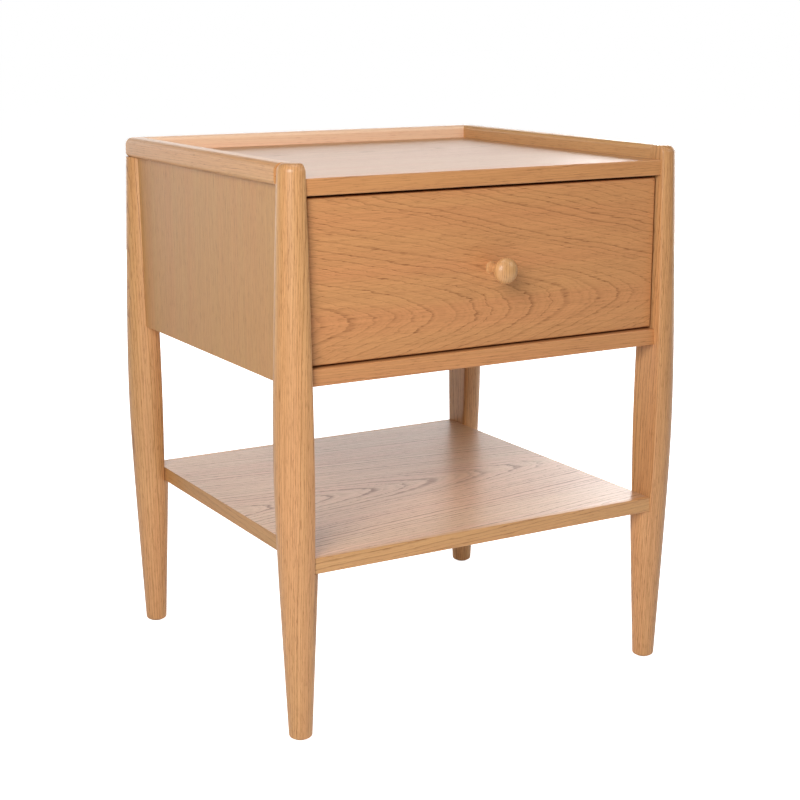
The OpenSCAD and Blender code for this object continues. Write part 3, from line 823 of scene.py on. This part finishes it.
class CABINET_OT_shelf(bpy.types.Operator):
    """Make the shelf and its front and back lippings"""

    bl_idname = "cabinet.shelf"
    bl_label = "Shelf"

    def execute(self, context):
        edges = context.scene.cabinet_edges
        timber = context.scene.cabinet_timber
        place = middle("shelf_panel")
        face = oak(
            "oak_shelf_panel", colours(timber, "shelf"), "XYZ", grain_start(place, "XYZ", -0.03), pith=0.03,
            taper=0.12, ring=5.6 * MM, wander=9 * MM, contrast=1.5, streaks=1.2,
        )
        band = oak(
            "oak_shelf_band", colours(timber, "panel"), "YZX", grain_start(place, "YZX", 0.05), pith=0.08,
            taper=0.02, ring=2.5 * MM, wander=3 * MM, contrast=0.8, gloss=0.42,
        )
        shelf = board("shelf_panel", *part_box("shelf_panel"), edges.board)
        finish_piece(shelf, "shelf_panel", "cabinet", face)
        shelf.data.materials.append(band)
        for f in shelf.data.polygons:
            f.material_index = 1 if abs(f.normal.x) > 0.7 else 0
        for name, shift in (("shelf_lipping_front", 0.04), ("shelf_lipping_back", -0.05)):
            low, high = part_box(name)
            outer = low.y if name.endswith("front") else high.y
            piece = block(name, low, high)
            ease(piece, edges.lipping, level_edges(outer))
            shade(piece)
            finish = oak(
                "oak_" + name, colours(timber, "frame"), "XZY", grain_start(middle(name), "XZY", shift),
                pith=0.05, taper=0.03, ring=2.6 * MM, wander=4 * MM,
            )
            finish_piece(piece, name, "cabinet", finish)
        return {"FINISHED"}


class CABINET_OT_drawer(bpy.types.Operator):
    """Make the drawer front and the box behind it"""

    bl_idname = "cabinet.drawer"
    bl_label = "Drawer"

    def execute(self, context):
        edges = context.scene.cabinet_edges
        timber = context.scene.cabinet_timber
        finish = oak(
            "oak_drawer_front", colours(timber, "front"), "XZY",
            grain_start(middle("drawer_front"), "XZY", -0.042), pith=0.03, taper=0.22, ring=5.6 * MM,
            wander=15 * MM, contrast=0.8, gloss=0.4, streaks=1.2,
        )
        front = board("drawer_front", *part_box("drawer_front"), edges.front)
        finish_piece(front, "drawer_front", "drawer", finish)
        box = colours(timber, "box")
        grains = {"drawer_side_left": "YZX", "drawer_side_right": "YZX", "drawer_inner_front": "XZY",
                  "drawer_back": "XZY", "drawer_bottom": "XYZ"}
        for name, order in grains.items():
            edge = edges.drawer_side if "side" in name else edges.board
            finish = oak(
                "sealed_" + name, box, order, grain_start(middle(name), order, 0.05), pith=0.09,
                taper=0.06, ring=3.4 * MM, wander=6 * MM, contrast=0.6, gloss=0.45,
            )
            finish_piece(board(name, *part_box(name), edge), name, "drawer", finish)
        return {"FINISHED"}


class CABINET_OT_knob(bpy.types.Operator):
    """Turn the knob"""

    bl_idname = "cabinet.knob"
    bl_label = "Knob"

    def execute(self, context):
        edges = context.scene.cabinet_edges
        low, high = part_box("knob")
        face, out = high.y, high.y - low.y
        place = middle("knob")
        flare = 5 * MM
        # the stem narrows from its foot in a curve
        stem = [
            (flare * t, edges.knob_stem_r + (edges.knob_foot_r - edges.knob_stem_r) * (1 - t) ** 2)
            for t in (0, 0.15, 0.3, 0.5, 0.75, 1)
        ]
        half = edges.knob_head_t / 2
        first = math.degrees(math.asin(edges.knob_stem_r / edges.knob_head_r))
        head = [
            (out - half - half * math.cos(a), edges.knob_head_r * math.sin(a))
            for a in arc(28, first, 178.5)
        ]
        piece = turned("knob", stem + head, (place.x, face, place.z), (0, -1, 0), 80)
        shade(piece, 60)
        timber = oak(
            "oak_knob", colours(context.scene.cabinet_timber, "frame"), "ZXY",
            grain_start(place, "ZXY", 0.06), pith=0.04, taper=0.05, ring=2 * MM, wander=2 * MM,
        )
        finish_piece(piece, "knob", "drawer", timber)
        return {"FINISHED"}


class CABINET_OT_steel(bpy.types.Operator):
    """Fold the runners' channels and cut the screws' heads"""

    bl_idname = "cabinet.steel"
    bl_label = "Runners and screws"

    def execute(self, context):
        steel = plated_steel(tuple(context.scene.cabinet_timber.steel))
        thickness = 1.1 * MM

        def channel(name, opens):
            """A channel that opens to the right (1) or the left (-1): a web with its long edges folded."""
            low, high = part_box(name)
            inset = thickness / 2
            web_x = low.x + inset if opens > 0 else high.x - inset
            reach = (high.x if opens > 0 else low.x) - web_x
            bottom, top = low.z + inset, high.z - inset
            clear_selection()
            bpy.ops.mesh.primitive_plane_add(size=1, rotation=(0, math.pi / 2, 0))
            piece = bpy.context.object
            label(piece, name)
            piece.location = (web_x, (low.y + high.y) / 2, (bottom + top) / 2)
            piece.scale = (top - bottom, high.y - low.y, 1)
            at_rest(piece)

            def fold(*heights):
                """A test for the web's long edges at these heights."""
                return lambda a, b: all(
                    abs(p.x - web_x) < NEAR and min(abs(p.z - z) for z in heights) < NEAR for p in (a, b)
                )

            for z in (bottom, top):
                pick(piece, "EDGE", fold(z))
                bpy.ops.mesh.extrude_region_move(TRANSFORM_OT_translate={"value": (reach, 0, 0)})
                clear_selection()
            pick_all(piece)
            bpy.ops.mesh.normals_make_consistent(inside=False)
            pick(piece, "EDGE", fold(bottom, top))
            bpy.ops.mesh.bevel(offset=1.2 * MM, segments=4, affect="EDGES")
            apply_modifier(piece, "SOLIDIFY", thickness=thickness, offset=0, use_even_offset=True)
            outwards(piece)
            shade(piece, 40)
            return piece

        for side, inwards in (("left", 1), ("right", -1)):
            case, drawer = "runner_case_" + side, "runner_drawer_" + side
            finish_piece(channel(case, inwards), case, "cabinet", steel)
            finish_piece(channel(drawer, -inwards), drawer, "drawer", steel)

        def screws(name, columns, rows, body):
            """Countersunk screws driven in from behind on a grid, each with a cross cut in its head."""
            low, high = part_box(name)
            head_r, shank_r, tip_r = 3.4 * MM, 1.75 * MM, 0.3 * MM
            slot_long, slot_wide, slot_deep = 2.1 * MM, 0.45 * MM, 1.2 * MM
            length_y = high.y - low.y
            rings = [
                (0.0, head_r - 0.15 * MM), (0.12 * MM, head_r), (head_r - shank_r, shank_r),
                (length_y - 3 * MM, shank_r), (length_y, tip_r),
            ]
            made = []
            for i in range(columns):
                for j in range(rows):
                    x = low.x + head_r + (high.x - low.x - 2 * head_r) * i / (columns - 1)
                    z = low.z + head_r + (high.z - low.z - 2 * head_r) * j / (rows - 1)
                    head = Vector((x, high.y, z))
                    screw = turned(name + "_one", rings, head, (0, -1, 0), 24)
                    for wide, tall in ((slot_long, slot_wide), (slot_wide, slot_long)):
                        corner = Vector((wide, slot_deep, tall))
                        cut(screw, block("slot", head - corner, head + corner))
                    made.append(screw)
            piece = joined(made, name)
            shade(piece, 40)
            finish_piece(piece, name, body, steel)

        screws("back_panel_screws", 3, 2, "cabinet")
        screws("drawer_front_screws", 2, 2, "drawer")
        for name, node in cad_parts.items():
            if not node.hide_render and any(word in name for word in ("runner", "cage", "screw")):
                node.data.materials.clear()
                node.data.materials.append(steel)
        return {"FINISHED"}


class CABINET_OT_small_parts(bpy.types.Operator):
    """Finish the dowels and the glides"""

    bl_idname = "cabinet.small_parts"
    bl_label = "Dowels and glides"

    def execute(self, context):
        timber = context.scene.cabinet_timber
        beech = oak(
            "beech_dowels", colours(timber, "box"), "XYZ", (0, 0, 0), pith=0.2, ring=1.5 * MM,
            wander=2 * MM, contrast=0.4, gloss=0.5,
        )
        nylon = moulded_nylon(tuple(timber.nylon))
        for name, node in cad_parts.items():
            if name.endswith("_dowels"):
                node.data.materials.clear()
                node.data.materials.append(beech)
        low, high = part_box("foot_glides")
        glide_r, edge = 8 * MM, 0.4 * MM
        rings = [(edge * (1 - math.cos(a)), glide_r - edge + edge * math.sin(a)) for a in arc(4, 0, 90)]
        rings.append((high.z, glide_r))
        made = [
            turned("glide", rings, (x, y, 0), (0, 0, 1), 48)
            for x in (low.x + glide_r, high.x - glide_r)
            for y in (low.y + glide_r, high.y - glide_r)
        ]
        piece = joined(made, "foot_glides")
        shade(piece, 40)
        finish_piece(piece, "foot_glides", "cabinet", nylon)
        return {"FINISHED"}


class CABINET_OT_stage(bpy.types.Operator):
    """Lay the floor, hang the lights and set up the camera"""

    bl_idname = "cabinet.stage"
    bl_label = "Stage"

    def execute(self, context):
        stage = context.scene.cabinet_stage
        clear_selection()
        bpy.ops.mesh.primitive_plane_add(size=60, location=(0, 0, 0))
        floor = bpy.context.object
        floor.name = floor.data.name = "studio_floor"
        at_rest(floor)
        # the floor and the room look white, and light the object no more than they should
        g = Graph("white_floor")
        seen = g.value(g.add("ShaderNodeLightPath"), "Is Camera Ray")
        g.surface((*stage.floor, 1), 0.9, Emission_Strength=1.0)
        g.put(g.shader.inputs["Emission Color"], g.blend(seen, (stage.glow,) * 3, (1.0, 1.0, 1.0)))
        floor.data.materials.append(g.material)

        world = bpy.data.worlds.new("white_room")
        context.scene.world = world
        world.use_nodes = True
        nodes, links = world.node_tree.nodes, world.node_tree.links
        path = nodes.new("ShaderNodeLightPath")
        links.new(path.outputs["Is Camera Ray"], nodes["Background"].inputs["Strength"])
        nodes["Background"].inputs["Color"].default_value = (1, 1, 1, 1)

        middle_of_object = Vector((0, 0, 0.35))
        light_away, wall_tall, wall_target = 2.0, 1.8, (0.2, 0, 0.4)
        for name, azimuth, height, size, power in (
            ("key_light", -45, 25, 0.9, stage.key),
            ("front_light", 45, 35, 0.9, stage.front),
            ("light_above", 0, 89, 1.2, stage.above),
        ):
            a, e = math.radians(azimuth), math.radians(height)
            towards = Vector((math.sin(a) * math.cos(e), -math.cos(a) * math.cos(e), math.sin(e)))
            place = middle_of_object + light_away * towards
            self.softbox(name, place, middle_of_object, size, size, power, context)
        for name, place, wide, power in (
            ("back_wall", (1.2, 3.2, 0.9), 5.0, stage.back),
            ("left_wall", (-1.4, 3.2, 0.9), 3.0, stage.back_left),
            ("right_wall", (3.0, 1.4, 0.9), 3.0, stage.side),
        ):
            self.softbox(name, place, wall_target, wide, wall_tall, power, context)
        context.scene.view_settings.view_transform = "Standard"

        camera_data = bpy.data.cameras.new("camera")
        camera_data.lens = stage.lens
        camera_data.sensor_width = 36
        camera = bpy.data.objects.new("camera", camera_data)
        context.scene.collection.objects.link(camera)
        camera.location = stage.eye
        camera.rotation_euler = (math.pi / 2 - stage.pitch, 0, -stage.azimuth)
        context.scene.camera = camera
        return {"FINISHED"}

    def softbox(self, name, place, target, wide, tall, power, context):
        """An area light turned to its target."""
        light = bpy.data.lights.new(name, "AREA")
        light.shape = "RECTANGLE"
        light.size, light.size_y = wide, tall
        light.energy = power
        lamp = bpy.data.objects.new(name, light)
        context.scene.collection.objects.link(lamp)
        lamp.visible_camera = False
        lamp.location = place
        lamp.rotation_euler = (Vector(target) - Vector(place)).to_track_quat("-Z", "Y").to_euler()


STEPS = (
    CABINET_OT_legs,
    CABINET_OT_gallery,
    CABINET_OT_case,
    CABINET_OT_shelf,
    CABINET_OT_drawer,
    CABINET_OT_knob,
    CABINET_OT_steel,
    CABINET_OT_small_parts,
    CABINET_OT_stage,
)


class CABINET_PT_panel(bpy.types.Panel):
    """Lists the steps that make the cabinet"""

    bl_idname = "CABINET_PT_panel"
    bl_label = "Bedside cabinet"
    bl_space_type = "VIEW_3D"
    bl_region_type = "UI"
    bl_category = "Cabinet"

    def draw(self, context):
        for step in STEPS:
            self.layout.operator(step.bl_idname)
        for group in ("cabinet_legs", "cabinet_edges", "cabinet_timber", "cabinet_stage"):
            settings = getattr(context.scene, group)
            box = self.layout.box()
            for name in settings.__annotations__:
                box.prop(settings, name)


SETTINGS = {
    "cabinet_legs": CabinetLegs,
    "cabinet_edges": CabinetEdges,
    "cabinet_timber": CabinetTimber,
    "cabinet_stage": CabinetStage,
}


def register():
    for name, group in SETTINGS.items():
        bpy.utils.register_class(group)
        setattr(bpy.types.Scene, name, PointerProperty(type=group))
    for step in STEPS:
        bpy.utils.register_class(step)
    bpy.utils.register_class(CABINET_PT_panel)


def unregister():
    bpy.utils.unregister_class(CABINET_PT_panel)
    for step in reversed(STEPS):
        bpy.utils.unregister_class(step)
    for name, group in reversed(SETTINGS.items()):
        delattr(bpy.types.Scene, name)
        bpy.utils.unregister_class(group)


def main():
    register()
    bpy.ops.cabinet.legs()
    bpy.ops.cabinet.gallery()
    bpy.ops.cabinet.case()
    bpy.ops.cabinet.shelf()
    bpy.ops.cabinet.drawer()
    bpy.ops.cabinet.knob()
    bpy.ops.cabinet.steel()
    bpy.ops.cabinet.small_parts()
    bpy.ops.cabinet.stage()


if __name__ == "__main__":
    main()
